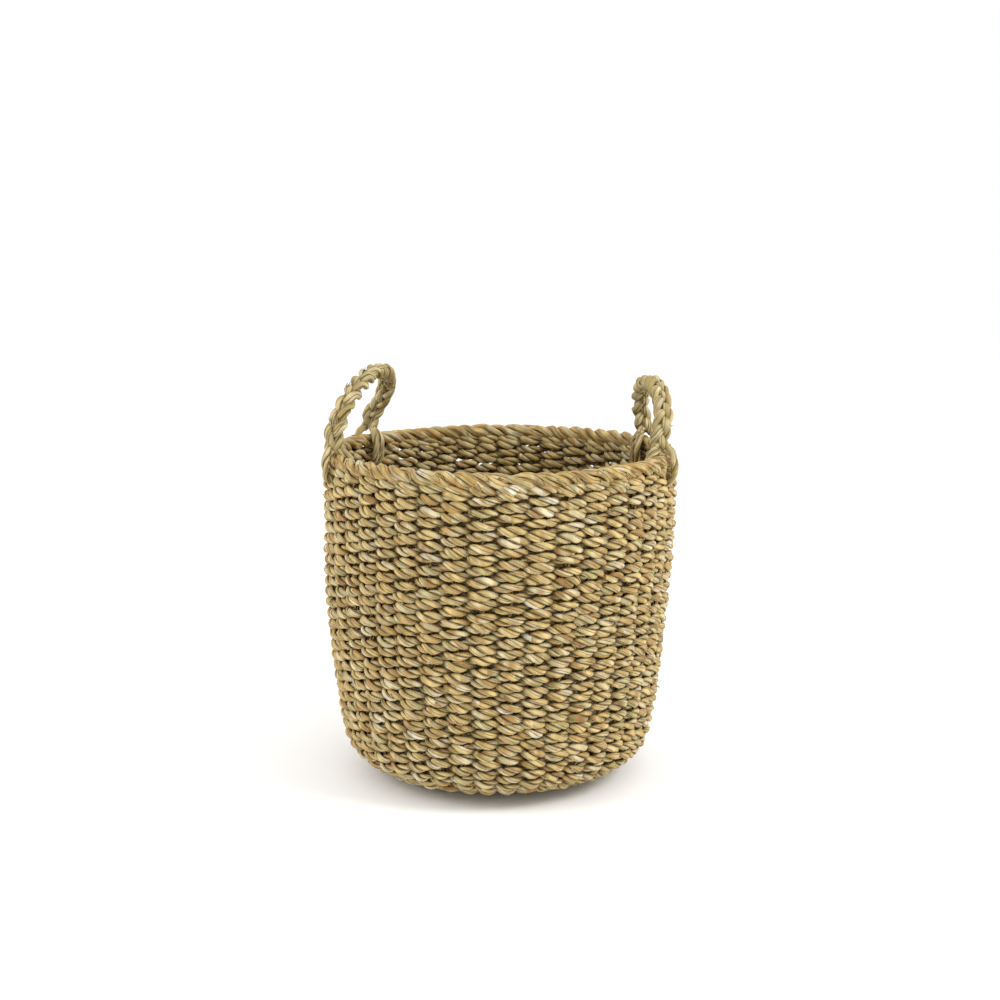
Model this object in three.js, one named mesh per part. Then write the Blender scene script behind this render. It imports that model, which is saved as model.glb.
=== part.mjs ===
// A round seagrass storage basket with two braided loop handles, in millimetres, +Z up.
// It stands on Z = 0 with its axis on Z. The front of the basket faces -Y.
import * as THREE from "three";

// ---- Driving dimensions -------------------------------------------------------------------

// The middle surface of the wall: a flat base, a rounded bottom edge and a gently bellied wall.
const BASE_FLAT_RADIUS = 103;
const CORNER_RADIUS = 52;
const CORNER_SWEEP = THREE.MathUtils.degToRad(82);
const BELLY_RADIUS = 177;
const BELLY_HEIGHT = 200;
const MOUTH_RADIUS = 171.5;
const WEAVE_TOP = 323;

// The cords: round stakes, and flattened weft that goes over one stake and under the next.
const STAKES_ACROSS = 11;
const STAKES_FORWARD = 10;
const STAKE_RADIUS = 2.5;
const WEFT_THICKNESS = 5.5;
const WEAVE_CLEARANCE = 0.5;
const PIECE_GAP = 0.3;

// Round the crossing in the middle of the base the stakes fan out, and then the weft starts.
const FAN_ROOM = 3.6;
const WEFT_START_ROOM = 8;
const WALL_RUNS = 8;

// The rope round the mouth.
const RIM_WIDTH = 18;
const RIM_HEIGHT = 17;

// The handles: a flat braid of three strands, each end straddling the rim in a foot.
const STRAND_RADIUS = 2.7;
const BRAID_SIDEWAYS = 6.6;
const BRAID_DEPTH = 4.6;
const BRAID_CYCLE = 56;
const FOOT_WIDTH = 16;
const FOOT_THICKNESS = 5;
const FOOT_CLEARANCE = 1;
const FOOT_OUTER_DROP = 40;
const FOOT_INNER_DROP = 30;
const PIVOT_CLEARANCE = 0.8;

// Each handle: its two feet by their bearing round the mouth, and how its loop rises and leans inwards.
const HANDLES = [
  { name: "left", frontBearing: 199, backBearing: 144, rise: 64, frontLean: 13, backLean: 39 },
  { name: "right", frontBearing: -21, backBearing: 24, rise: 45, frontLean: -16, backLean: 17 },
];

// How finely the round shapes are cut into flats.
const CORNER_STEPS = 4;
const WALL_STAKE_STEPS = 4;
const STAKE_SIDES = 6;
const RIM_SIDES = 8;
const STRAND_SIDES = 6;
const STEPS_PER_CYCLE = 12;
const FOOT_SAMPLES = 40;

// ---- Values that follow from them ---------------------------------------------------------

const STAKE_ENDS = 2 * (STAKES_ACROSS + STAKES_FORWARD);
const STAKE_STEP = (2 * Math.PI) / STAKE_ENDS;
const STAKE_REACH = STAKE_RADIUS + WEAVE_CLEARANCE;
const BASE_MIDDLE = STAKE_REACH + WEFT_THICKNESS;
const CROSSING_PITCH = 2 * STAKE_RADIUS + WEAVE_CLEARANCE;
const CROSSING_HALF = ((STAKES_ACROSS - 1) / 2) * CROSSING_PITCH + STAKE_RADIUS;
const FAN_RADIUS = Math.SQRT2 * CROSSING_HALF + FAN_ROOM;
const WEFT_START_RADIUS = FAN_RADIUS + WEFT_START_ROOM;
const BASE_SEAM_RADIUS = (WEFT_START_RADIUS + BASE_FLAT_RADIUS) / 2;
const RIM_MIDDLE = WEAVE_TOP + PIECE_GAP + RIM_HEIGHT / 2;
const RIM_TOP = WEAVE_TOP + PIECE_GAP + RIM_HEIGHT;
const FOOT_TOP = RIM_TOP + FOOT_CLEARANCE + FOOT_THICKNESS;
const BRAID_HALF_WIDTH = BRAID_SIDEWAYS + STRAND_RADIUS;
const PIVOT_HEIGHT = FOOT_TOP + PIVOT_CLEARANCE + BRAID_HALF_WIDTH;

// ---- Materials ----------------------------------------------------------------------------

function seagrass(color, roughness) {
  return new THREE.MeshStandardMaterial({ color, roughness, metalness: 0 });
}

const stakeMaterial = () => seagrass(0x8a7440, 0.85);
const weftMaterial = () => seagrass(0xb79c63, 0.75);
const rimMaterial = () => seagrass(0xb0975c, 0.7);
const handleMaterial = () => seagrass(0xb9a873, 0.65);

// ---- The middle surface of base and wall --------------------------------------------------

// The profile runs from the centre of the base out and up to the mouth, x as radius and y as height.
function middleProfile() {
  const profile = new THREE.Path();
  const cornerHeight = BASE_MIDDLE + CORNER_RADIUS;
  profile.moveTo(0, BASE_MIDDLE);
  profile.lineTo(BASE_FLAT_RADIUS, BASE_MIDDLE);
  profile.absarc(
    BASE_FLAT_RADIUS, cornerHeight, CORNER_RADIUS,
    -Math.PI / 2, -Math.PI / 2 + CORNER_SWEEP, false,
  );
  profile.quadraticCurveTo(BELLY_RADIUS, BELLY_HEIGHT, MOUTH_RADIUS, WEAVE_TOP);
  return profile;
}

const profile = middleProfile();
const PROFILE_LENGTH = profile.getLength();
const CORNER_START = BASE_FLAT_RADIUS;
const CORNER_END = CORNER_START + CORNER_RADIUS * CORNER_SWEEP;

// The point of the profile at a distance along it, moved outwards by an offset square to it.
function profilePoint(distance, offset = 0) {
  const share = distance / PROFILE_LENGTH;
  const point = profile.getPoint(share);
  const along = profile.getTangent(share);
  return new THREE.Vector2(point.x + along.y * offset, point.y - along.x * offset);
}

function evenSteps(from, to, steps) {
  return Array.from({ length: steps + 1 }, (_, i) => from + ((to - from) * i) / steps);
}

// ---- Stakes -------------------------------------------------------------------------------

// A cord that runs straight from station to station. The stations are unevenly spaced on purpose:
// close together round the bottom edge and far apart up the wall.
class StationPath extends THREE.Curve {
  constructor(stations) {
    super();
    this.stations = stations;
  }
  getUtoTmapping(u) {
    return u;
  }
  getPoint(t) {
    const last = this.stations.length - 1;
    const place = THREE.MathUtils.clamp(t, 0, 1) * last;
    const index = Math.min(Math.floor(place), last - 1);
    return this.stations[index].clone().lerp(this.stations[index + 1], place - index);
  }
}

function roundSection(radius, sides) {
  const section = new THREE.Shape();
  for (let i = 0; i < sides; i += 1) {
    const angle = (2 * Math.PI * i) / sides;
    const point = [radius * Math.cos(angle), radius * Math.sin(angle)];
    if (i === 0) section.moveTo(...point);
    else section.lineTo(...point);
  }
  section.closePath();
  return section;
}

// The stations of one end of a stake, from the edge of the crossing to the mouth.
function stakeEnd(bearing, crossingPoint) {
  const at = (radius, height) =>
    new THREE.Vector3(radius * Math.cos(bearing), radius * Math.sin(bearing), height);
  const distances = [
    ...evenSteps(CORNER_START, CORNER_END, CORNER_STEPS),
    ...evenSteps(CORNER_END, PROFILE_LENGTH, WALL_STAKE_STEPS).slice(1),
  ];
  const climb = distances.map((distance) => {
    const point = profilePoint(distance);
    return at(point.x, point.y);
  });
  return [crossingPoint, at(FAN_RADIUS, BASE_MIDDLE), ...climb];
}

// A stake is one cord: down the wall, across the base through the crossing, and up the far wall.
// The first group lies across the basket on top, the second lies front to back underneath.
function stakeGeometry(index, count, acrossBasket) {
  const fromMiddle = index - (count - 1) / 2;
  const side = fromMiddle * CROSSING_PITCH;
  const level = BASE_MIDDLE + (acrossBasket ? 1 : -1) * (STAKE_RADIUS + WEAVE_CLEARANCE / 2);
  const heading = acrossBasket ? 0 : Math.PI / 2;
  const turn = (acrossBasket ? 1 : -1) * fromMiddle * STAKE_STEP;
  const near = acrossBasket
    ? new THREE.Vector3(CROSSING_HALF, side, level)
    : new THREE.Vector3(side, CROSSING_HALF, level);
  const far = acrossBasket
    ? new THREE.Vector3(-CROSSING_HALF, side, level)
    : new THREE.Vector3(side, -CROSSING_HALF, level);
  const stations = [
    ...stakeEnd(heading + Math.PI - turn, far).reverse(),
    ...stakeEnd(heading + turn, near),
  ];
  return new THREE.ExtrudeGeometry(roundSection(STAKE_RADIUS, STAKE_SIDES), {
    extrudePath: new StationPath(stations),
    steps: stations.length - 1,
  });
}

function stakes() {
  const group = new THREE.Group();
  for (let i = 0; i < STAKES_ACROSS + STAKES_FORWARD; i += 1) {
    const acrossBasket = i < STAKES_ACROSS;
    const index = acrossBasket ? i : i - STAKES_ACROSS;
    const count = acrossBasket ? STAKES_ACROSS : STAKES_FORWARD;
    const mesh = new THREE.Mesh(stakeGeometry(index, count, acrossBasket), stakeMaterial());
    mesh.name = `stake_${String(i + 1).padStart(2, "0")}`;
    group.add(mesh);
  }
  return group;
}

// ---- Weft ---------------------------------------------------------------------------------

// How far the weft's near face stands off the middle surface where it passes a stake. A weft that
// turns back at each stake meets it on a slope, so it has to stand off further.
function standOff(radius, turnsAtStake) {
  if (!turnsAtStake) return STAKE_REACH;
  const slope = Math.atan((2 * STAKE_REACH + WEFT_THICKNESS) / (radius * STAKE_STEP));
  return STAKE_REACH / Math.cos(slope);
}

// The closed section of a run of weft, on the outside of the stakes (side 1) or the inside (-1).
function weftSection(distances, side, turnsAtStake) {
  const offsets = (distance) => {
    const near = standOff(profilePoint(distance).x, turnsAtStake);
    return side > 0 ? [near, near + WEFT_THICKNESS] : [-near - WEFT_THICKNESS, -near];
  };
  const outer = distances.map((distance) => profilePoint(distance, offsets(distance)[1]));
  const inner = distances.map((distance) => profilePoint(distance, offsets(distance)[0]));
  return [...outer, ...inner.reverse(), outer[0]];
}

// One run of weft: a ring that snakes over one stake and under the next. On the base and the
// bottom edge it lies flat past each stake, and up the wall it turns back at each stake.
function weftGeometry(from, to, steps, phase, turnsAtStake) {
  const distances = evenSteps(from + PIECE_GAP / 2, to - PIECE_GAP / 2, steps);
  const outside = weftSection(distances, 1, turnsAtStake);
  const inside = weftSection(distances, -1, turnsAtStake);
  const turnsPerStake = turnsAtStake ? 1 : 2;
  const segments = STAKE_ENDS * turnsPerStake;
  const start = turnsAtStake ? STAKE_STEP / 2 : STAKE_STEP / 4;
  const geometry = new THREE.LatheGeometry(outside, segments, start, 2 * Math.PI);
  const position = geometry.getAttribute("position");
  for (let i = 0; i <= segments; i += 1) {
    const stake = Math.floor((i % segments) / turnsPerStake);
    const section = (stake + phase) % 2 === 0 ? outside : inside;
    const angle = start + (2 * Math.PI * i) / segments;
    section.forEach((point, j) => {
      const vertex = i * section.length + j;
      position.setXYZ(vertex, point.x * Math.sin(angle), point.y, point.x * Math.cos(angle));
    });
  }
  return geometry.rotateX(Math.PI / 2);
}

function weft() {
  const group = new THREE.Group();
  const cornerMiddle = (CORNER_START + CORNER_END) / 2;
  const halfCorner = CORNER_STEPS / 2;
  const wallEdges = evenSteps(CORNER_END, PROFILE_LENGTH, WALL_RUNS);
  const runs = [
    { name: "base_weft_inner", from: WEFT_START_RADIUS, to: BASE_SEAM_RADIUS, steps: 1 },
    { name: "base_weft_outer", from: BASE_SEAM_RADIUS, to: CORNER_START, steps: 1 },
    { name: "corner_weft_lower", from: CORNER_START, to: cornerMiddle, steps: halfCorner },
    { name: "corner_weft_upper", from: cornerMiddle, to: CORNER_END, steps: halfCorner },
  ];
  for (let i = 0; i < WALL_RUNS; i += 1) {
    const name = `wall_weft_${i + 1}`;
    runs.push({ name, from: wallEdges[i], to: wallEdges[i + 1], steps: 1, wall: true });
  }
  runs.forEach((run, i) => {
    const geometry = weftGeometry(run.from, run.to, run.steps, i % 2, Boolean(run.wall));
    const mesh = new THREE.Mesh(geometry, weftMaterial());
    mesh.name = run.name;
    group.add(mesh);
  });
  return group;
}

// ---- Rim rope -----------------------------------------------------------------------------

function rimRope() {
  const section = Array.from({ length: RIM_SIDES + 1 }, (_, i) => {
    const angle = (2 * Math.PI * i) / RIM_SIDES;
    return new THREE.Vector2(
      MOUTH_RADIUS + (RIM_WIDTH / 2) * Math.cos(angle),
      RIM_MIDDLE + (RIM_HEIGHT / 2) * Math.sin(angle),
    );
  });
  const mesh = new THREE.Mesh(new THREE.LatheGeometry(section, STAKE_ENDS), rimMaterial());
  mesh.geometry.rotateX(Math.PI / 2);
  mesh.name = "rim_rope";
  return mesh;
}

// ---- Handles ------------------------------------------------------------------------------

function mouthPoint(bearingDegrees, height) {
  const bearing = THREE.MathUtils.degToRad(bearingDegrees);
  return new THREE.Vector3(
    MOUTH_RADIUS * Math.cos(bearing), MOUTH_RADIUS * Math.sin(bearing), height,
  );
}

// The middle line of a handle's loop: from its front foot up, over and down to its back foot.
// It leans into the basket about the line between its feet, more at one end than at the other.
class LoopLine {
  constructor(handle) {
    this.front = mouthPoint(handle.frontBearing, PIVOT_HEIGHT);
    this.back = mouthPoint(handle.backBearing, PIVOT_HEIGHT);
    this.rise = handle.rise;
    this.frontLean = THREE.MathUtils.degToRad(handle.frontLean);
    this.backLean = THREE.MathUtils.degToRad(handle.backLean);
    this.chord = this.back.clone().sub(this.front);
    const middle = this.front.clone().add(this.back).multiplyScalar(0.5);
    const inward = new THREE.Vector3(-middle.x, -middle.y, 0);
    this.inward = inward.addScaledVector(
      this.chord, -inward.dot(this.chord) / this.chord.lengthSq(),
    ).normalize();
  }
  // The direction square to the chord that the loop rises in at this share of its length.
  riseDirection(t) {
    const lean = THREE.MathUtils.lerp(this.frontLean, this.backLean, t);
    return new THREE.Vector3(0, 0, Math.cos(lean)).addScaledVector(this.inward, Math.sin(lean));
  }
  point(t) {
    const along = (1 - Math.cos(Math.PI * t)) / 2;
    const height = this.rise * Math.sin(Math.PI * t);
    return this.front.clone()
      .addScaledVector(this.chord, along)
      .addScaledVector(this.riseDirection(t), height);
  }
  // The braid's wide direction is square to the loop, and its thin direction lies in the loop.
  frame(t) {
    const step = 1e-3;
    const before = this.point(Math.max(t - step, 0));
    const tangent = this.point(Math.min(t + step, 1)).sub(before).normalize();
    const chordUnit = this.chord.clone().normalize();
    const wide = chordUnit.cross(this.riseDirection(t));
    wide.addScaledVector(tangent, -wide.dot(tangent)).normalize();
    return { wide, thin: tangent.cross(wide) };
  }
  length() {
    const stations = evenSteps(0, 1, 60).map((t) => this.point(t));
    return stations.slice(1).reduce((sum, p, i) => sum + p.distanceTo(stations[i]), 0);
  }
}

// One strand of the braid: it swings from side to side once a cycle and in and out twice.
class BraidStrand extends THREE.Curve {
  constructor(loop, cycles, phase) {
    super();
    this.loop = loop;
    this.cycles = cycles;
    this.phase = phase;
  }
  getUtoTmapping(u) {
    return u;
  }
  getPoint(t) {
    const share = THREE.MathUtils.clamp(t, 0, 1);
    const swing = 2 * Math.PI * this.cycles * share + this.phase;
    const { wide, thin } = this.loop.frame(share);
    return this.loop.point(share)
      .addScaledVector(wide, BRAID_SIDEWAYS * Math.sin(swing))
      .addScaledVector(thin, BRAID_DEPTH * Math.sin(2 * swing));
  }
}

function handleBraid(handle) {
  const group = new THREE.Group();
  const loop = new LoopLine(handle);
  const strands = 3;
  // A whole number of half cycles keeps both ends of the braid alike, and none is cramped.
  const cycles = Math.floor((2 * loop.length()) / BRAID_CYCLE) / 2;
  for (let i = 0; i < strands; i += 1) {
    const strand = new BraidStrand(loop, cycles, (2 * Math.PI * i) / strands);
    const geometry = new THREE.ExtrudeGeometry(roundSection(STRAND_RADIUS, STRAND_SIDES), {
      extrudePath: strand,
      steps: Math.round(cycles * STEPS_PER_CYCLE),
    });
    const mesh = new THREE.Mesh(geometry, handleMaterial());
    mesh.name = `${handle.name}_handle_strand_${i + 1}`;
    group.add(mesh);
  }
  return group;
}

// How far from the mouth's middle line a foot's strap hangs, on the outside (side 1) or the inside
// (-1), so that it clears the rim rope and all of the weave that it hangs beside.
function footReach(drop, side) {
  const beside = evenSteps(CORNER_END, PROFILE_LENGTH, FOOT_SAMPLES)
    .filter((distance) => profilePoint(distance).y > RIM_TOP - drop - PROFILE_LENGTH / FOOT_SAMPLES)
    .map((distance) => {
      const radius = profilePoint(distance).x;
      return side * (radius - MOUTH_RADIUS) + standOff(radius, true) + WEFT_THICKNESS;
    });
  return Math.max(RIM_WIDTH / 2, ...beside) + FOOT_CLEARANCE;
}

// A foot is where the strands' tails straddle the rim: one strap down the outside and one down
// the inside of the wall, joined over the rim rope.
function handleFoot(name, bearingDegrees) {
  const outer = footReach(FOOT_OUTER_DROP, 1);
  const inner = footReach(FOOT_INNER_DROP, -1);
  const crown = FOOT_TOP - FOOT_THICKNESS;
  const outline = new THREE.Shape();
  outline.moveTo(-inner - FOOT_THICKNESS, RIM_TOP - FOOT_INNER_DROP);
  outline.lineTo(-inner, RIM_TOP - FOOT_INNER_DROP);
  outline.lineTo(-inner, crown);
  outline.lineTo(outer, crown);
  outline.lineTo(outer, RIM_TOP - FOOT_OUTER_DROP);
  outline.lineTo(outer + FOOT_THICKNESS, RIM_TOP - FOOT_OUTER_DROP);
  outline.lineTo(outer + FOOT_THICKNESS, crown);
  outline.lineTo(outer, FOOT_TOP);
  outline.lineTo(-inner, FOOT_TOP);
  outline.lineTo(-inner - FOOT_THICKNESS, crown);
  outline.closePath();
  const geometry = new THREE.ExtrudeGeometry(outline, { depth: FOOT_WIDTH, bevelEnabled: false });
  // The outline is drawn standing up at the mouth: its x is the radius and its y the height.
  geometry.translate(MOUTH_RADIUS, 0, -FOOT_WIDTH / 2);
  geometry.rotateX(Math.PI / 2);
  const mesh = new THREE.Mesh(geometry, handleMaterial());
  mesh.rotation.z = THREE.MathUtils.degToRad(bearingDegrees);
  mesh.name = name;
  return mesh;
}

// ---- The basket ---------------------------------------------------------------------------

const basket = new THREE.Group();
basket.add(stakes(), weft(), rimRope());
for (const handle of HANDLES) {
  basket.add(
    handleBraid(handle),
    handleFoot(`${handle.name}_handle_front_foot`, handle.frontBearing),
    handleFoot(`${handle.name}_handle_back_foot`, handle.backBearing),
  );
}

export default basket;
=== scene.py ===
import math

import bpy
import numpy as np
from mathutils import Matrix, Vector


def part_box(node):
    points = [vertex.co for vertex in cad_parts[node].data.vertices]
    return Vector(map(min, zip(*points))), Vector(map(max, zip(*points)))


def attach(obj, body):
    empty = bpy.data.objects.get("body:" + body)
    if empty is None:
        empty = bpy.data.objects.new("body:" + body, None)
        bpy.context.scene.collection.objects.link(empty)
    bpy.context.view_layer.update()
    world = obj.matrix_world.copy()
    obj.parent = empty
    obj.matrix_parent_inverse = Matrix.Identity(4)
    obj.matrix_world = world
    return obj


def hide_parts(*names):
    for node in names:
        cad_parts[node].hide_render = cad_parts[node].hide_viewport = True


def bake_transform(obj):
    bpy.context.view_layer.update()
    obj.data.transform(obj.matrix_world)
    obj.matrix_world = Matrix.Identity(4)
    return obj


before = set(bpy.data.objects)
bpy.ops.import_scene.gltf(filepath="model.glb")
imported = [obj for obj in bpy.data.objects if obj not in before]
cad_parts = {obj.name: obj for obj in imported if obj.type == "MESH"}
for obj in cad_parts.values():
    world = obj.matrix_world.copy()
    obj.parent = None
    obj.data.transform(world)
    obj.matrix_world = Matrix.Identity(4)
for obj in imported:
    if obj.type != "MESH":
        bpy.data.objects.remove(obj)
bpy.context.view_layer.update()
bpy.ops.object.select_all(action="DESELECT")


# ---- Camera --------------------------------------------------------------------------------------
# It stands a little above the rim in front of the basket and looks slightly down into the mouth.

LOOKS_DOWN = 10.19

bpy.ops.object.camera_add(
    location=(0, -1.620, 0.574), rotation=(math.radians(90 - LOOKS_DOWN), 0, 0)
)
camera = bpy.context.object
camera.name = "camera"
camera.data.sensor_width = 36
camera.data.lens = 57.3
camera.data.shift_x = 0.0028
bpy.context.scene.camera = camera


# ---- Stakes --------------------------------------------------------------------------------------
# Twenty-one hand-twisted two-ply seagrass cords laid across each other under the middle of the base
# and turned up into the wall as forty-two uprights. The weft hides all but glimpses of them.

# Sizes here and below are in millimetres, and MM turns them to metres.
MM = 0.001
BASE_LEVEL = 8.5
FLAT_RADIUS = 103
EDGE_RADIUS = 52
EDGE_SWEEP = math.radians(82)
CURL, CURL_STARTS, CURL_SPAN = 5, 66, 42
CURL_FADES, CURL_FADE_SPAN = 9, 30
BELLY = np.array([177, 200])
MOUTH_RADIUS = 171.5
RIM_GAP = 0.3
WEAVE_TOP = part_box("rim_rope")[0].z / MM - RIM_GAP
LEAN, LEAN_STARTS, LEAN_SPAN = 3.2, 170, 130
SWAY = math.radians(0.8)
BEATEN_DOWN, BEATEN_WAVES = 3.2, 0.9
STAKES_ACROSS = 11
STAKES_FORWARD = 10
STAKE_ENDS = 2 * (STAKES_ACROSS + STAKES_FORWARD)
STAKE_STEP = 2 * math.pi / STAKE_ENDS
STAKE_REACH = 1.35
STAKE_THICK = 1.5
STAKE_WIDE = STAKE_THICK * 1.1
STAKE_SIDES = 6
STAKE_TWIST = 17
CROSSING_PITCH = 5.5
CROSSING_HALF = 30
CROSSING_LIFT = 1.5
FAN_RADIUS = 46
# A point in the middle of the basket, towards which one side of every stake is turned.
INSIDE = np.array([0, 0, 200.0])


def eased(value, start=0, span=1):
    """Rises smoothly from 0 to 1 while the value goes from the start over the span."""
    part = np.clip((value - start) / span, 0, 1)
    return part * part * (3 - 2 * part)


def middle_surface():
    """The middle of the weave from the centre of the base to the mouth, as radius and height."""
    flat = np.linspace([0, BASE_LEVEL], [FLAT_RADIUS, BASE_LEVEL], 60)
    turn = np.linspace(0, EDGE_SWEEP, 60)[1:]
    edge = np.column_stack([
        FLAT_RADIUS + EDGE_RADIUS * np.sin(turn),
        BASE_LEVEL + EDGE_RADIUS * (1 - np.cos(turn)),
    ])
    t = np.linspace(0, 1, 200)[1:, None]
    mouth = np.array([MOUTH_RADIUS, WEAVE_TOP])
    wall = (1 - t) ** 2 * edge[-1] + 2 * t * (1 - t) * BELLY + t**2 * mouth
    surface = np.vstack([flat, edge, wall])
    # The flat part of the base curls up a little before it reaches the turned edge.
    low_down = 1 - eased(surface[:, 1], CURL_FADES, CURL_FADE_SPAN)
    surface[:, 1] += CURL * eased(surface[:, 0], CURL_STARTS, CURL_SPAN) * low_down
    return surface


outline = middle_surface()
travel = np.concatenate([[0], np.cumsum(np.linalg.norm(np.diff(outline, axis=0), axis=1))])
climb = np.gradient(outline, travel, axis=0)
slope = np.arctan2(climb[:, 1], climb[:, 0])
MOUTH_TRAVEL = travel[-1]


def unit(vectors):
    return vectors / np.linalg.norm(vectors, axis=-1, keepdims=True)


def sway(bearing, distance):
    """How far an upright stands aside from its even place, in radians: it was bent by hand."""
    up = distance / MOUTH_TRAVEL
    wander = np.sin(3 * bearing + 4 * up) + 0.7 * np.sin(5 * bearing - 7 * up + 1)
    return SWAY * wander * np.clip(2 * up - 0.4, 0, 1)


def lift(bearing, distance):
    """How far a row is beaten up or down from its even place, in millimetres."""
    up = np.clip((distance - FLAT_RADIUS) / (MOUTH_TRAVEL - FLAT_RADIUS), 0, 1)
    waves = np.sin(4 * bearing + 9 * up) + 0.8 * np.sin(7 * bearing - 5 * up + 2)
    return (BEATEN_DOWN * np.cos(bearing) + BEATEN_WAVES * waves) * np.sin(np.pi * up) ** 0.7


def leaning(height):
    """How far the basket has slumped sideways at a height, in millimetres."""
    return LEAN * eased(height, LEAN_STARTS, LEAN_SPAN)


def in_weave(stake_bearing, distance, out):
    """Points of the weave, with the directions up the wall and outwards at each."""
    bearing = stake_bearing + sway(stake_bearing, distance)
    along = distance + lift(stake_bearing, distance)
    radius = np.interp(along, travel, outline[:, 0])
    height = np.interp(along, travel, outline[:, 1])
    tilt = np.interp(along, travel, slope)
    ray = np.stack([np.cos(bearing), np.sin(bearing), 0 * bearing], axis=-1)
    rise = np.array([0, 0, 1.0])
    upwards = ray * np.cos(tilt)[..., None] + rise * np.sin(tilt)[..., None]
    outwards = ray * np.sin(tilt)[..., None] - rise * np.cos(tilt)[..., None]
    points = ray * radius[..., None] + rise * height[..., None] + outwards * out[..., None]
    points[..., 0] += leaning(height)
    return points, upwards, outwards


def square_frames(points, upwards):
    """Two directions square to the line of points, the first as near upwards as it goes."""
    forward = unit(np.gradient(points, axis=0))
    first = unit(upwards - forward * np.sum(upwards * forward, axis=1, keepdims=True))
    return first, np.cross(forward, first)


def lengths(points):
    steps = np.linalg.norm(np.diff(points, axis=0), axis=1)
    return np.concatenate([[0], np.cumsum(steps)])


# Added to the run from one ply to the next, so that neighbours don't share their tones.
PLY_APART = 8


def twisted(points, first, second, turn, plies, reach, thick, wide, sides,
            press=(1, 1), leaves=4, drift=3.0, fold=0.0, run=None):
    """The plies of a twisted cord, each as (rings of points, run), where the run is the length
    along the cord in decimetres, set apart from one ply to the next so that their tones differ.
    Press flattens the cord along its two directions, and fold sinks the lines between leaves."""
    run = lengths(points) / 100 if run is None else run
    around = np.arange(sides) / sides
    swept = 2 * math.pi * around[None, :]
    made = []
    for ply in range(plies):
        angle = (turn + 2 * math.pi * ply / plies)[:, None]
        crease = np.abs(np.cos(math.pi * (leaves * around[None, :] + drift * run[:, None]))) ** 6
        size = 1 - fold * crease
        outer = reach + np.reshape(thick, (-1, 1)) * np.cos(swept) * size
        aside = np.reshape(wide, (-1, 1)) * np.sin(swept) * size
        a = (outer * np.cos(angle) - aside * np.sin(angle)) * np.reshape(press[0], (-1, 1))
        b = (outer * np.sin(angle) + aside * np.cos(angle)) * np.reshape(press[1], (-1, 1))
        rings = points[:, None] + a[..., None] * first[:, None] + b[..., None] * second[:, None]
        made.append((rings, run + PLY_APART * ply))
    return made


def cord_piece(name, skins, material):
    """One mesh of closed tubes. Its UV map holds the run along each tube and the share round it.
    Bared is how far each point stands out of the weave, from 0 deep inside to 1 at the face;
    the material paints shade where it is low."""
    points, faces, uvs, smooth, bared = [], [], [], [], []
    start = 0
    for rings, run, *shown in skins:
        count, sides = rings.shape[:2]
        points.append(rings.reshape(-1, 3) * MM)
        bared.append(shown[0].ravel() if shown else np.ones(count * sides))
        i, j = np.meshgrid(np.arange(count - 1), np.arange(sides), indexing="ij")
        nxt = (j + 1) % sides
        quads = np.stack([i * sides + j, i * sides + nxt,
                          (i + 1) * sides + nxt, (i + 1) * sides + j], axis=-1).reshape(-1, 4)
        faces += (quads + start).tolist()
        share = np.stack([j, j + 1, j + 1, j], axis=-1).reshape(-1, 4) / sides
        ends = np.stack([run[i], run[i], run[i + 1], run[i + 1]], axis=-1).reshape(-1, 4)
        uvs.append(np.stack([ends, share], axis=-1).reshape(-1, 2))
        near = start + np.arange(sides)
        far = start + (count - 1) * sides + np.arange(sides)
        faces += [near[::-1].tolist(), far.tolist()]
        uvs.append(np.column_stack([np.repeat([run[0], run[-1]], sides), np.zeros(2 * sides)]))
        smooth += [True] * len(quads) + [False, False]
        start += count * sides
    mesh = bpy.data.meshes.new(name)
    mesh.from_pydata(np.vstack(points).tolist(), [], faces)
    mesh.uv_layers.new(name="leaf").data.foreach_set("uv", np.vstack(uvs).ravel())
    mesh.attributes.new("bared", "FLOAT", "POINT").data.foreach_set("value", np.concatenate(bared))
    mesh.polygons.foreach_set("use_smooth", smooth)
    mesh.materials.append(material)
    piece = bpy.data.objects.new(name, mesh)
    bpy.context.scene.collection.objects.link(piece)
    return piece


def linear(colour):
    """An sRGB hex colour as the linear values that a shader takes."""
    parts = [int(colour[i:i + 2], 16) / 255 for i in (1, 3, 5)]
    return [p / 12.92 if p <= 0.04045 else ((p + 0.055) / 1.055) ** 2.4 for p in parts] + [1]


def add(tree, kind, inputs=None, **settings):
    """A shader node with its settings, its sockets given values or linked to other sockets."""
    node = tree.nodes.new(kind)
    for setting, value in settings.items():
        setattr(node, setting, value)
    for socket, value in (inputs or {}).items():
        if isinstance(value, bpy.types.NodeSocket):
            tree.links.new(value, node.inputs[socket])
        else:
            node.inputs[socket].default_value = value
    return node


# How many times in 100 mm of cord a new blade, handful, patch of sun, vein or blotch comes.
SPLICES = 3.4
HANDFULS = 2.2
SUNNED_TURNS = 9.0
VEIN_CHANGES = 7
BLOTCHES = 9

VEINS_ACROSS = 9
VEIN_RELIEF = 0.35
LAP_HEIGHT = 0.9
# The dark brown that the painted shade in the grooves and deep in the weave is mixed towards.
PAINTED_SHADE_BROWN = "#36200A"
DRY_SHEEN = "#E2C68E"


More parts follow.
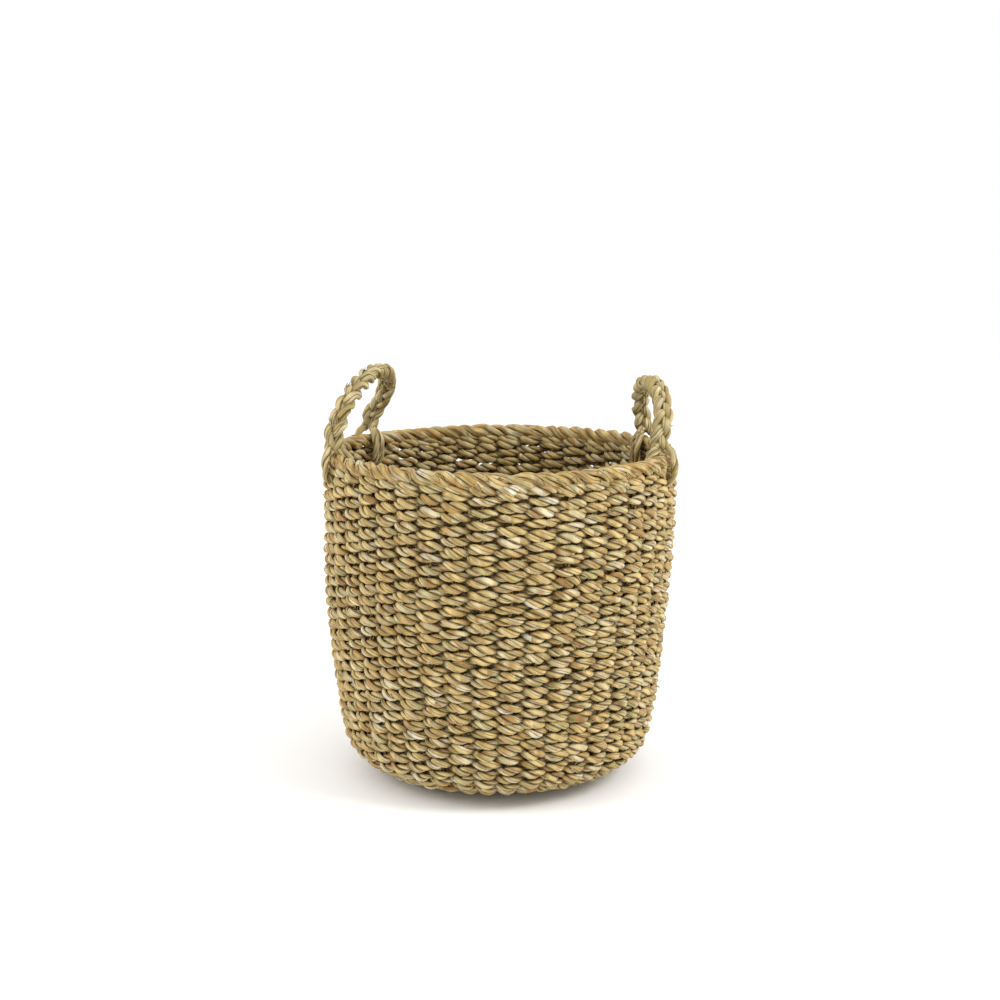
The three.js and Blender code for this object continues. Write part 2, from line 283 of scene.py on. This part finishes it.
def dried_seagrass(name, tones, leaves, drift, edge, patch, roughness, bump):
    """Dried seagrass leaves, twisted together: flat satin straw-coloured blades, each lapped over
    the next and of its own tone, with fine veins, brown edges, and some bleached or greenish.
    Shade is painted in as darker brown in the grooves between plies and deep in the weave."""
    material = bpy.data.materials.new(name)
    material.use_nodes = True
    tree = material.node_tree
    tree.nodes.clear()
    place = add(tree, "ShaderNodeUVMap", uv_map="leaf")
    split = add(tree, "ShaderNodeSeparateXYZ", {0: place.outputs["UV"]})
    run, share = split.outputs["X"], split.outputs["Y"]
    # Which leaf a point is on, and how far across that leaf it is.
    shifted = add(tree, "ShaderNodeMath", {0: run, 1: drift}, operation="MULTIPLY")
    across = add(tree, "ShaderNodeMath", {0: share, 1: leaves, 2: shifted.outputs[0]},
                 operation="MULTIPLY_ADD")
    whole = add(tree, "ShaderNodeMath", {0: across.outputs[0]}, operation="FLOOR")
    part = add(tree, "ShaderNodeMath", {0: across.outputs[0]}, operation="FRACT")
    leaf = add(tree, "ShaderNodeMath", {0: whole.outputs[0], 1: leaves}, operation="FLOORED_MODULO")
    # A new blade is twisted in every 30 mm or so of cord, so a tone holds only that long.
    first_tone = add(tree, "ShaderNodeTexWhiteNoise", {"W": leaf.outputs[0]},
                     noise_dimensions="1D")
    spliced = add(tree, "ShaderNodeMath", {0: run, 1: SPLICES, 2: first_tone.outputs["Value"]},
                  operation="MULTIPLY_ADD")
    splice = add(tree, "ShaderNodeMath", {0: spliced.outputs[0]}, operation="FLOOR")
    blade = add(tree, "ShaderNodeCombineXYZ", {"X": leaf.outputs[0], "Y": splice.outputs[0]})
    tone = add(tree, "ShaderNodeTexWhiteNoise", {"Vector": blade.outputs[0]},
               noise_dimensions="3D")
    # Leaves of one handful share a tone that changes slowly, every 45 mm or so of the cord.
    handful = add(tree, "ShaderNodeTexNoise", {"W": run, "Scale": HANDFULS, "Detail": 1.0},
                  noise_dimensions="1D")
    stretch = add(tree, "ShaderNodeMapRange", {"Value": handful.outputs["Fac"],
                                               "From Min": 0.3, "From Max": 0.7})
    mixed = add(tree, "ShaderNodeMix", {
        "Factor": 0.4, 2: tone.outputs["Value"], 3: stretch.outputs["Result"],
    })
    # Veins run along the leaf, 0.5 to 0.8 mm apart, and change every 14 mm or so.
    vein_run = add(tree, "ShaderNodeMath", {0: run, 1: VEIN_CHANGES}, operation="MULTIPLY")
    vein_across = add(tree, "ShaderNodeMath", {0: across.outputs[0], 1: VEINS_ACROSS},
                      operation="MULTIPLY")
    stretched = add(tree, "ShaderNodeCombineXYZ", {
        "X": vein_run.outputs[0], "Y": vein_across.outputs[0], "Z": tone.outputs["Value"],
    })
    veins = add(tree, "ShaderNodeTexNoise",
                {"Vector": stretched.outputs[0], "Scale": 1.0, "Detail": 3.0, "Roughness": 0.6})
    # Brown blotches 10 to 20 mm long, where the leaf dried unevenly. Each blade has its own.
    blotch_run = add(tree, "ShaderNodeMath", {0: run, 1: BLOTCHES}, operation="MULTIPLY")
    own_place = add(tree, "ShaderNodeMath", {0: tone.outputs["Value"], 1: 50},
                    operation="MULTIPLY")
    blotched = add(tree, "ShaderNodeCombineXYZ", {
        "X": blotch_run.outputs[0], "Y": across.outputs[0], "Z": own_place.outputs[0],
    })
    blotches = add(tree, "ShaderNodeTexNoise",
                   {"Vector": blotched.outputs[0], "Scale": 1.0, "Detail": 2.0})
    ramp = add(tree, "ShaderNodeValToRGB", {"Fac": mixed.outputs[0]})
    ramp.color_ramp.elements[0].color = linear(tones[0][1])
    ramp.color_ramp.elements[1].color = linear(tones[-1][1])
    for position, colour in tones[1:-1]:
        ramp.color_ramp.elements.new(position).color = linear(colour)
    vein_light = add(tree, "ShaderNodeMapRange",
                     {"Value": veins.outputs["Fac"], "From Min": 0.3, "From Max": 0.7,
                      "To Min": 0.84, "To Max": 1.14})
    # Every 11 mm or so along the cord the leaves caught more or less sun than before.
    sunned = add(tree, "ShaderNodeTexNoise", {"W": run, "Scale": SUNNED_TURNS, "Detail": 1.0},
                 noise_dimensions="1D")
    sun_light = add(tree, "ShaderNodeMapRange",
                    {"Value": sunned.outputs["Fac"], "From Min": 0.3, "From Max": 0.7,
                     "To Min": 0.76, "To Max": 1.14})
    light = add(tree, "ShaderNodeMath", {0: vein_light.outputs["Result"],
                                         1: sun_light.outputs["Result"]}, operation="MULTIPLY")
    veined = add(tree, "ShaderNodeVectorMath",
                 {0: ramp.outputs["Color"], 1: light.outputs[0]}, operation="MULTIPLY")
    blotch_share = add(tree, "ShaderNodeMapRange",
                       {"Value": blotches.outputs["Fac"], "From Min": 0.54, "From Max": 0.7,
                        "To Min": 0.0, "To Max": 0.7})
    blotchy = add(tree, "ShaderNodeMix", {
        "Factor": blotch_share.outputs["Result"], 6: veined.outputs[0], 7: linear(patch),
    }, data_type="RGBA")
    # Each leaf is brown along the edge that is tucked under the next one.
    tucked = add(tree, "ShaderNodeMapRange",
                 {"Value": part.outputs[0], "From Min": 0.8, "From Max": 1.0,
                  "To Min": 0.0, "To Max": 0.8})
    edged = add(tree, "ShaderNodeMix", {
        "Factor": tucked.outputs["Result"], 6: blotchy.outputs[2], 7: linear(edge),
    }, data_type="RGBA")
    # Painted shade: the side of a ply that is turned into the cord, in the grooves between plies,
    # is darkened towards brown.
    from_middle = add(tree, "ShaderNodeMath", {0: share, 1: 0.5}, operation="SUBTRACT")
    turned_in = add(tree, "ShaderNodeMath", {0: from_middle.outputs[0]}, operation="ABSOLUTE")
    painted_groove_shade = add(tree, "ShaderNodeMapRange",
                      {"Value": turned_in.outputs[0], "From Min": 0.06, "From Max": 0.24,
                       "To Min": 0.95, "To Max": 0.0}, interpolation_type="SMOOTHSTEP")
    # Painted shade: deep between the cords, near the middle of the weave, the colour is darkened
    # towards brown.
    bared = add(tree, "ShaderNodeAttribute", attribute_name="bared")
    painted_deep_shade = add(tree, "ShaderNodeMapRange",
                 {"Value": bared.outputs["Fac"], "From Min": 0.1, "From Max": 0.62,
                  "To Min": 0.75, "To Max": 0.0}, interpolation_type="SMOOTHSTEP")
    # Both painted shades together, which mix the colour towards the painted shade brown.
    shaded = add(tree, "ShaderNodeMath", {0: painted_groove_shade.outputs["Result"],
                                          1: painted_deep_shade.outputs["Result"]}, operation="MAXIMUM")
    finished = add(tree, "ShaderNodeMix", {
        "Factor": shaded.outputs[0], 6: edged.outputs[2], 7: linear(PAINTED_SHADE_BROWN),
    }, data_type="RGBA")
    # The specular is turned down where the shade is painted in, satin on open faces and dull in the
    # painted shade, so that reflections don't lighten it.
    shine = add(tree, "ShaderNodeMapRange",
                {"Value": shaded.outputs[0], "To Min": 0.36, "To Max": 0.05})
    # The lap of one leaf over the next stands up like a step, and the veins are slight ridges.
    lap = add(tree, "ShaderNodeMapRange",
              {"Value": part.outputs[0], "From Min": 0.0, "From Max": 0.8,
               "To Min": 0.0, "To Max": 1.0}, interpolation_type="SMOOTHSTEP")
    drop = add(tree, "ShaderNodeMapRange",
               {"Value": part.outputs[0], "From Min": 0.84, "From Max": 1.0,
                "To Min": 1.0, "To Max": 0.0}, interpolation_type="SMOOTHSTEP")
    step = add(tree, "ShaderNodeMath", {0: lap.outputs["Result"], 1: drop.outputs["Result"]},
               operation="MULTIPLY")
    relief = add(tree, "ShaderNodeMath",
                 {0: veins.outputs["Fac"], 1: VEIN_RELIEF, 2: step.outputs[0]},
                 operation="MULTIPLY_ADD")
    raised = add(tree, "ShaderNodeBump",
                 {"Strength": bump, "Distance": LAP_HEIGHT * MM, "Height": relief.outputs[0]})
    finish = add(tree, "ShaderNodeBsdfPrincipled", {
        "Base Color": finished.outputs[2],
        "Roughness": roughness,
        "Specular IOR Level": shine.outputs["Result"],
        "Sheen Weight": 0.04,
        "Sheen Roughness": 0.5,
        "Sheen Tint": linear(DRY_SHEEN),
        "Normal": raised.outputs[0],
    })
    add(tree, "ShaderNodeOutputMaterial", {"Surface": finish.outputs[0]})
    return material


stake_seagrass = dried_seagrass(
    "twisted_seagrass_stake",
    tones=[(0, "#8F7340"), (0.35, "#AC9056"), (0.7, "#BEA367"), (1, "#8F7D48")],
    leaves=2, drift=4.0, edge="#6E4E28", patch="#8A6236", roughness=0.75, bump=0.6,
)


def stake_route(index, count, across):
    """A stake's middle line: down one side of the basket, through the crossing and up the other."""
    place = index - (count - 1) / 2
    heading = 0 if across else math.pi / 2
    turn = (1 if across else -1) * place * STAKE_STEP
    level = BASE_LEVEL + (CROSSING_LIFT if across else -CROSSING_LIFT)
    halves = []
    for bearing, side in ((heading + math.pi - turn, -1), (heading + turn, 1)):
        distance = np.linspace(FAN_RADIUS, MOUTH_TRAVEL, 150)
        in_wall = in_weave(np.full_like(distance, bearing), distance, 0 * distance)[0]
        edge_point = [side * CROSSING_HALF, place * CROSSING_PITCH, level]
        if not across:
            edge_point = [edge_point[1], edge_point[0], level]
        inwards = np.linspace(edge_point, in_wall[0], 7)[:-1]
        halves.append(np.vstack([inwards, in_wall]))
    middle = np.linspace(halves[0][0], halves[1][0], 20)[1:-1]
    return np.vstack([halves[0][::-1], middle, halves[1]])


for number in range(STAKES_ACROSS + STAKES_FORWARD):
    across = number < STAKES_ACROSS
    index = number if across else number - STAKES_ACROSS
    route = stake_route(index, STAKES_ACROSS if across else STAKES_FORWARD, across)
    first, second = square_frames(route, INSIDE - route)
    turn = 2 * math.pi * lengths(route) / STAKE_TWIST
    plies = twisted(route, first, second, turn, 2, STAKE_REACH, STAKE_THICK, STAKE_WIDE,
                    STAKE_SIDES)
    name = f"stake_{number + 1:02d}"
    stake = cord_piece(f"{name}_cord", plies, stake_seagrass)
    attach(stake, "basket")
    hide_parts(name)


# ---- Weft ----------------------------------------------------------------------------------------
# Two long twisted seagrass cords chase each other round the basket from the middle of the base to
# the rim, one outside each upright where the other is inside, so that their rows lock like bricks.

ROW = 5.45
WEFT_START = 37
PAIRED_UNTIL = 55
WEFT_STEP = 2.3
BASE_SWING = 3.9
WALL_SWING = 5.4
WEFT_TWIST = 31
WEFT_REACH = 2.35
WEFT_THICK = 2.95
WEFT_WIDE = 3.6
WEFT_SIDES = 8
WEFT_LEAVES = 3
WEFT_DRIFT = 4.0
WEFT_TOP = MOUTH_TRAVEL + 2
WEFT_END = MOUTH_TRAVEL + 3
WEFT_BARED_AT = 10
SWING_STARTS, SWING_SPAN = FLAT_RADIUS - 12, 60
PULLED_THIN, SWELLS, FLATTENED = 0.78, 0.24, 0.72
WEAVER_APART = 500
LEAF_END_APART = 200
LEAF_END_THICK = 0.22
BASE_SEAM = 78.5
WALL_RUNS = 8
LOOSE_ENDS_FROM = FLAT_RADIUS + 30

weft_seagrass = dried_seagrass(
    "twisted_seagrass_weft",
    tones=[(0, "#DCD4BE"), (0.2, "#D5C59A"), (0.36, "#C3A86A"), (0.49, "#D0B97F"),
           (0.6, "#B39053"), (0.7, "#CDBF94"), (0.8, "#B0A469"), (0.9, "#966A38"), (1, "#CFC29A")],
    leaves=WEFT_LEAVES, drift=WEFT_DRIFT, edge="#6A4822", patch="#94703C",
    roughness=0.58, bump=0.8,
)


def uneven(seed, count, low, high):
    """A value for each place where the cord passes an upright, as the maker's hand varies."""
    return np.random.RandomState(seed).uniform(low, high, count)


def between(values, place):
    """The uneven values read smoothly between one upright and the next."""
    index = np.clip(np.floor(place).astype(int), 0, len(values) - 2)
    part = eased(place - index)
    return values[index] * (1 - part) + values[index + 1] * part


def weaver_route(weaver):
    """The stations of one weaver: its bearing counted on through every turn, and its distance."""
    start = WEFT_START + weaver * ROW
    bearing = 0.0
    stations = []
    while True:
        # At the mouth it runs level under the rim until the other weaver has come up to it.
        climbing = start + 2 * ROW * bearing / (2 * math.pi)
        if climbing > WEFT_TOP + ROW:
            return np.array(stations)
        distance = min(climbing, WEFT_TOP)
        stations.append((bearing, distance))
        radius = np.interp(distance, travel, outline[:, 0])
        bearing += min(WEFT_STEP / radius, STAKE_STEP / 6)


def weaver_cord(weaver):
    """One weaver's two plies over its whole length, and the distance of each station."""
    bearing, distance = weaver_route(weaver).T
    bearing = bearing - math.pi / 2
    place = bearing / STAKE_STEP + STAKE_ENDS
    count = int(place.max()) + 3
    # Near the middle of the base each weaver passes three stakes at a time, further out one.
    slid = between(uneven(51 + weaver, count, -0.22, 0.22), place)
    threes = np.cos(STAKE_ENDS / 6 * (bearing - STAKE_STEP))
    singles = np.cos(STAKE_ENDS / 2 * bearing + slid)
    outside = np.where(distance < PAIRED_UNTIL, threes, singles)
    swing = np.sign(outside) * np.abs(outside) ** 0.8 * (1 if weaver == 0 else -1)
    stout = between(uneven(11 + weaver, count, 0.82, 1.2), place)
    raised = between(uneven(21 + weaver, count, -1.1, 1.1), place)
    proud = between(uneven(31 + weaver, count, -0.6, 1.0), place)
    up = np.clip((distance - SWING_STARTS) / SWING_SPAN, 0, 1)
    reach_out = BASE_SWING + (WALL_SWING - BASE_SWING) * eased(up)
    out = reach_out * swing * (1 + 0.10 * proud * up)
    points, upwards, _ = in_weave(bearing, distance + raised, out)
    first, second = square_frames(points, upwards)
    run = lengths(points)
    pitch = WEFT_TWIST * between(uneven(41 + weaver, count, 0.74, 1.3), place)
    turn = np.concatenate([[0], np.cumsum(2 * math.pi * np.diff(run) / pitch[1:])])
    squeeze = PULLED_THIN + SWELLS * np.abs(outside)
    press = (squeeze * stout, FLATTENED + 0.05 * proud)
    plies = twisted(points, first, second, turn + weaver, 2, WEFT_REACH, WEFT_THICK, WEFT_WIDE,
                    WEFT_SIDES, press=press, leaves=WEFT_LEAVES, drift=WEFT_DRIFT,
                    run=run / 100 + WEAVER_APART * weaver)
    middle, _, outwards = in_weave(bearing, distance + raised, 0 * out)
    # How far each point stands out of the weave, which sets how much shade is painted there.
    shown = [np.abs(np.sum((rings - middle[:, None]) * outwards[:, None], axis=2)) / WEFT_BARED_AT
             for rings, _ in plies]
    return [(rings, run, bare) for (rings, run), bare in zip(plies, shown)], distance


def leaf_end(rings, run, station, corner, length, width, curl, lift_off):
    """A leaf's loose end: a thin blade that leaves the ply it is twisted into and tapers off."""
    root = rings[station, corner]
    outwards = unit(root - rings[station].mean(axis=0))
    forward = unit(rings[station + 1, corner] - root)
    sideways = np.cross(outwards, forward)
    t = np.linspace(0, 1, 7)[:, None]
    line = (root + outwards * (0.1 + lift_off * t**2) + forward * length * t
            + sideways * curl * t**2)
    half = width / 2 * (1 - 0.85 * t**2)
    thin = LEAF_END_THICK * (1 - 0.5 * t)
    corners = [line + outwards * (thin + 0.25 * half), line - sideways * half,
               line - outwards * (thin - 0.25 * half), line + sideways * half]
    return np.stack(corners, axis=1), run[station] + LEAF_END_APART + t[:, 0] * length / 100


def leaf_ends(skins, seed, every, length, width, lift_off):
    """Loose ends on the outer side of the plies, one about every so many stations."""
    hand = np.random.RandomState(seed)
    made = []
    for rings, run, *_ in skins:
        count, sides = rings.shape[:2]
        station = int(hand.uniform(0.2, 1) * every)
        while station < count - 2:
            away = rings[station] * [1, 1, 0.3]
            corner = int(np.argmax(np.linalg.norm(away, axis=1)))
            corner = (corner + hand.randint(-1, 2)) % sides
            made.append(leaf_end(rings, run, station, corner, length * hand.uniform(0.6, 1.3),
                                 width * hand.uniform(0.7, 1.3), hand.uniform(-3, 3),
                                 lift_off * hand.uniform(0.4, 1.6)))
            station += int(every * hand.uniform(0.5, 1.5))
    return made


edge_end = FLAT_RADIUS + EDGE_RADIUS * EDGE_SWEEP
edge_middle = (FLAT_RADIUS + edge_end) / 2
weft_runs = {
    "base_weft_inner": (0, BASE_SEAM),
    "base_weft_outer": (BASE_SEAM, FLAT_RADIUS),
    "corner_weft_lower": (FLAT_RADIUS, edge_middle),
    "corner_weft_upper": (edge_middle, edge_end),
}
wall_edges = np.linspace(edge_end, WEFT_END, WALL_RUNS + 1)
for i in range(WALL_RUNS):
    weft_runs[f"wall_weft_{i + 1}"] = (wall_edges[i], wall_edges[i + 1])

weavers = [weaver_cord(0), weaver_cord(1)]
for name, (low, high) in weft_runs.items():
    skins = []
    for plies, distance in weavers:
        begin, end = np.searchsorted(distance, [low, high])
        for ply in plies:
            skins.append([part[begin:end + 1] for part in ply])
    if low >= LOOSE_ENDS_FROM:
        skins += leaf_ends(skins, int(low), every=120, length=9, width=2.6, lift_off=1.2)
    piece = cord_piece(f"{name}_cord", skins, weft_seagrass)
    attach(piece, "basket")
    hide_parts(name)


# ---- Rim rope ------------------------------------------------------------------------------------
# A stout three-ply seagrass rope wound round the mouth over the turned-down stake ends. Each ply is
# a bundle of folded leaves, and the rope is sewn down through the weave.

RIM_RADIUS = MOUTH_RADIUS
RIM_LEVEL = (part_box("rim_rope")[0].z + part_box("rim_rope")[1].z) / 2 / MM
RIM_TWIST = 54
RIM_STEP = 1.6
RIM_REACH = 4.6
RIM_THICK = 4.2
RIM_WIDE = 4.8
RIM_SIDES = 20
RIM_LEAVES = 4
RIM_DRIFT = 2.5
RIM_FOLD = 0.18
RIM_HANDFULS = 75

rim_seagrass = dried_seagrass(
    "twisted_seagrass_rim",
    tones=[(0, "#D2CAB2"), (0.22, "#C8B686"), (0.4, "#AF9152"), (0.52, "#C2AB70"),
           (0.64, "#9E7C42"), (0.76, "#C0B28A"), (0.88, "#A3945A"), (1, "#87592A")],
    leaves=RIM_LEAVES, drift=RIM_DRIFT, edge="#6E431C", patch="#A57038",
    roughness=0.56, bump=0.9,
)

turns = round(2 * math.pi * RIM_RADIUS / RIM_TWIST)
count = round(2 * math.pi * RIM_RADIUS / RIM_STEP)
bearing = np.linspace(0, 2 * math.pi, count + 1)
place = bearing / (2 * math.pi) * RIM_HANDFULS


def round_rim(seed, low, high):
    """Uneven values round the rim that come back to where they started."""
    values = uneven(seed, RIM_HANDFULS, low, high)
    return between(np.append(values, values[:2]), place)


level = RIM_LEVEL + 0.8 * np.sin(2 * bearing + 1) + 0.5 * np.sin(5 * bearing)
level += round_rim(64, -0.5, 0.5)
radius = RIM_RADIUS + round_rim(63, -0.7, 0.7)
route = np.column_stack([radius * np.cos(bearing), radius * np.sin(bearing), level])
route[:, 0] += LEAN
first, second = square_frames(route, np.tile([0, 0, 1.0], (count + 1, 1)))
turn = turns * bearing + 0.35 * np.sin(6 * bearing) + 0.25 * np.sin(11 * bearing)
turn += round_rim(61, -0.45, 0.45)
stout = round_rim(62, 0.86, 1.14)
plies = twisted(route, first, second, turn, 3, RIM_REACH, RIM_THICK * stout, RIM_WIDE * stout,
                RIM_SIDES, press=(0.93, 0.96), leaves=RIM_LEAVES, drift=RIM_DRIFT, fold=RIM_FOLD)
plies += leaf_ends(plies, 65, every=24, length=9, width=5.0, lift_off=0.4)
rim = cord_piece("rim_rope_plies", plies, rim_seagrass)
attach(rim, "basket")
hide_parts("rim_rope")


# ---- Handles -------------------------------------------------------------------------------------
# Two loops, each a flat three-strand braid of long seagrass leaves. At each foot the strands' tails
# straddle the rim rope, one down the outside of the wall and two down the inside, and are sewn in.

PIVOT_LEVEL = 356.4
SPLIT_LEVEL = 346
BRAID_SIDEWAYS = 5.3
BRAID_DEPTH = 3.4
BRAID_CYCLE = 48
STRAND_REACH = 1.9
STRAND_THICK = 3.0
STRAND_WIDE = 3.7
STRAND_SIDES = 12
STRAND_TWIST = 44
STRAND_FOLD = 0.14
TAIL_EASES_OVER = 8
UNEVEN_EVERY = 9
HANDLE_STEP = 1.5
HANDLE_LEAVES = 3
HANDLE_DRIFT = 1.5
BRAID_BARED_AT = 12.5
LOOP_APART, STRAND_APART = 31, 9

handle_seagrass = dried_seagrass(
    "braided_seagrass_handle",
    tones=[(0, "#D2C9A8"), (0.25, "#B8A26C"), (0.5, "#C9BA8C"), (0.75, "#A3925A"), (1, "#B0935A")],
    leaves=HANDLE_LEAVES, drift=HANDLE_DRIFT, edge="#54381A", patch="#9A7640",
    roughness=0.55, bump=0.9,
)


def mouth_point(bearing, level):
    angle = math.radians(bearing)
    return np.array([MOUTH_RADIUS * math.cos(angle), MOUTH_RADIUS * math.sin(angle), level])


def smooth_line(points, step):
    """A smooth line through given points, as Catmull-Rom pieces cut into even steps."""
    points = np.array(points, float)
    padded = np.vstack([2 * points[0] - points[1], points, 2 * points[-1] - points[-2]])
    t = np.linspace(0, 1, 24, endpoint=False)[:, None]
    parts = []
    for a, b, c, d in zip(padded, padded[1:], padded[2:], padded[3:]):
        parts.append(0.5 * (2 * b + (c - a) * t + (2 * a - 5 * b + 4 * c - d) * t**2
                            + (3 * b - a - 3 * c + d) * t**3))
    line = np.vstack(parts + [points[-1:]])
    run = lengths(line)
    even = np.linspace(0, run[-1], max(2, round(run[-1] / step)))
    return np.column_stack([np.interp(even, run, line[:, i]) for i in range(3)])


def tail_points(bearing, strand, spread):
    """Where a strand's tail goes from the foot of the braid: one outside the rim, two inside.
    Spread is how far the outer and the inner ones are set aside along the rim."""
    angle = math.radians(bearing)
    ray = np.array([math.cos(angle), math.sin(angle), 0])
    sideways = np.array([-math.sin(angle), math.cos(angle), 0])
    if strand == 0:
        stops = [(9.5, 0, 341), (12.6, 0, 333), (12.6, 0.5, 325), (11.5, 0, 317), (3, -1.5, 309)]
    else:
        side = 1 if strand == 1 else -1
        stops = [(-11.5, 4 * side, 336), (-13.5, 4.5 * side, 328), (-13.2, 4.5 * side, 320),
                 (-11, 4.2 * side, 312), (-5, 4 * side, 307)]
    foot = MOUTH_RADIUS * ray + [LEAN, 0, 0]
    shift = spread[0] if strand == 0 else spread[1]
    return [foot + ray * out + sideways * (aside + shift) + [0, 0, level]
            for out, aside, level in stops]


def braid_handle(name, front_bearing, back_bearing, rise, front_lean, back_lean,
                 front_spread, back_spread, seed):
    """One loop. Bearings say where its feet are round the mouth, rise is its height over them,
    and the leans are how far its front and back legs tilt inwards, all angles in degrees."""
    front, back = mouth_point(front_bearing, PIVOT_LEVEL), mouth_point(back_bearing, PIVOT_LEVEL)
    chord = back - front
    outward = unit((front + back) * [1, 1, 0])
    outward = unit(outward - chord * (outward @ chord) / (chord @ chord))
    t = np.linspace(0, 1, 400)[:, None]
    lean = np.radians(front_lean + (back_lean - front_lean) * t)
    rising = np.cos(lean) * [0, 0, 1.0] - np.sin(lean) * outward
    loop = front + chord * (1 - np.cos(np.pi * t)) / 2 + rising * rise * np.sin(np.pi * t)
    drop = np.linspace(PIVOT_LEVEL - SPLIT_LEVEL, 0, 12)[:-1, None] * [0, 0, 1.0]
    loop = np.vstack([loop[0] - drop, loop, (loop[-1] - drop)[::-1]])
    run = lengths(loop)
    even = np.linspace(0, run[-1], round(run[-1] / HANDLE_STEP))
    loop = np.column_stack([np.interp(even, run, loop[:, i]) for i in range(3)])
    wide, thin = square_frames(loop, np.tile(outward, (len(loop), 1)))
    cycles = round(run[-1] / BRAID_CYCLE)
    tails = {"front": [], "back": []}
    wobble = np.random.RandomState(seed)
    for strand in range(3):
        swing = math.pi / 2 + 2 * math.pi * (cycles * even / run[-1] + strand / 3)
        jitter = uneven(70 + 5 * seed + strand, len(even), -0.16, 0.16)
        swing = swing + between(jitter, np.arange(len(even)) / UNEVEN_EVERY)
        middle = (loop + wide * BRAID_SIDEWAYS * np.sin(swing)[:, None]
                  + thin * BRAID_DEPTH * np.sin(2 * swing)[:, None])
        front_stops = tail_points(front_bearing, strand, front_spread)[::-1]
        back_stops = tail_points(back_bearing, strand, back_spread)
        front_tail = smooth_line(front_stops + [middle[0]], HANDLE_STEP)
        back_tail = smooth_line([middle[-1]] + back_stops, HANDLE_STEP)
        whole = np.vstack([front_tail[:-1], middle, back_tail[1:]])
        first, second = square_frames(whole, np.tile(outward, (len(whole), 1)))
        along = lengths(whole)
        turn = 2 * math.pi * along / STRAND_TWIST + wobble.uniform(0, 6)
        stout = uneven(80 + 5 * seed + strand, len(whole), 0.86, 1.16)
        stout = between(stout, along / UNEVEN_EVERY)
        begin, end = len(front_tail) - 1, len(whole) - len(back_tail)
        station = np.arange(len(whole))
        in_tail = np.clip(np.maximum(begin - station, station - end) / TAIL_EASES_OVER, 0, 1)
        bundle = twisted(whole, first, second, turn, 2, STRAND_REACH, STRAND_THICK * stout,
                         STRAND_WIDE * stout, STRAND_SIDES, leaves=HANDLE_LEAVES,
                         drift=HANDLE_DRIFT, fold=STRAND_FOLD,
                         press=(1 - 0.25 * in_tail, 1 + 0.1 * in_tail),
                         run=along / 100 + LOOP_APART * seed + STRAND_APART * strand)
        braid = []
        for rings, length in bundle:
            tails["front"].append((rings[:begin + 1], length[:begin + 1]))
            braided = rings[begin:end + 1]
            # How far each point stands out from the middle of the braid, which sets how much shade
            # is painted there.
            bare = np.linalg.norm(braided - loop[:, None], axis=2) / BRAID_BARED_AT
            braid.append((braided, length[begin:end + 1], bare))
            braid += leaf_ends(braid[-1:], 90 + strand, every=45, length=8, width=3.0,
                               lift_off=1.2)
            tails["back"].append((rings[end:], length[end:]))
        piece = cord_piece(f"{name}_braid_strand_{strand + 1}", braid, handle_seagrass)
        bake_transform(piece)
        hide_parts(f"{name}_handle_strand_{strand + 1}")
    for end_name, skins in tails.items():
        piece = cord_piece(f"{name}_{end_name}_tails", skins, handle_seagrass)
        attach(piece, "basket")
        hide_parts(f"{name}_handle_{end_name}_foot")


braid_handle("left", front_bearing=199, back_bearing=144, rise=65, front_lean=13, back_lean=39,
             front_spread=(0, 0), back_spread=(12, 6), seed=1)
braid_handle("right", front_bearing=-21, back_bearing=24, rise=47.5, front_lean=-16, back_lean=17,
             front_spread=(0, -7), back_spread=(0, 0), seed=2)


# ---- Floor and light -----------------------------------------------------------------------------
# A plain matt white floor that runs back into a white surround, one soft lamp high up on the
# right, and a weaker and larger one on the left.

bpy.ops.mesh.primitive_plane_add(size=12, location=(0, 0, 0))
floor = bpy.context.object
floor.name = "floor"
floor_paint = bpy.data.materials.new("matt_white_floor")
floor_paint.use_nodes = True
matt_paint = floor_paint.node_tree.nodes["Principled BSDF"]
matt_paint.inputs["Base Color"].default_value = linear("#FFFFFF")
matt_paint.inputs["Roughness"].default_value = 0.9
floor.data.materials.append(floor_paint)

surround = bpy.data.worlds.new("white_surround")
surround.use_nodes = True
glow = surround.node_tree.nodes["Background"]
glow.inputs["Color"].default_value = linear("#FFFFFF")
glow.inputs["Strength"].default_value = 1.0
bpy.context.scene.world = surround
bpy.context.scene.view_settings.view_transform = "Standard"

BASKET_MIDDLE = 0.2

for name, place, size, power in (
    ("key_lamp", (1.8, -0.8, 1.8), 0.9, 31),
    ("fill_lamp", (-1.8, -0.6, 1.4), 1.2, 15),
):
    bpy.ops.object.light_add(type="AREA", location=place)
    lamp = bpy.context.object
    lamp.name = name
    lamp.data.size = size
    lamp.data.energy = power
    aim = lamp.location.copy()
    aim.z -= BASKET_MIDDLE
    lamp.rotation_euler = aim.to_track_quat("Z", "Y").to_euler()
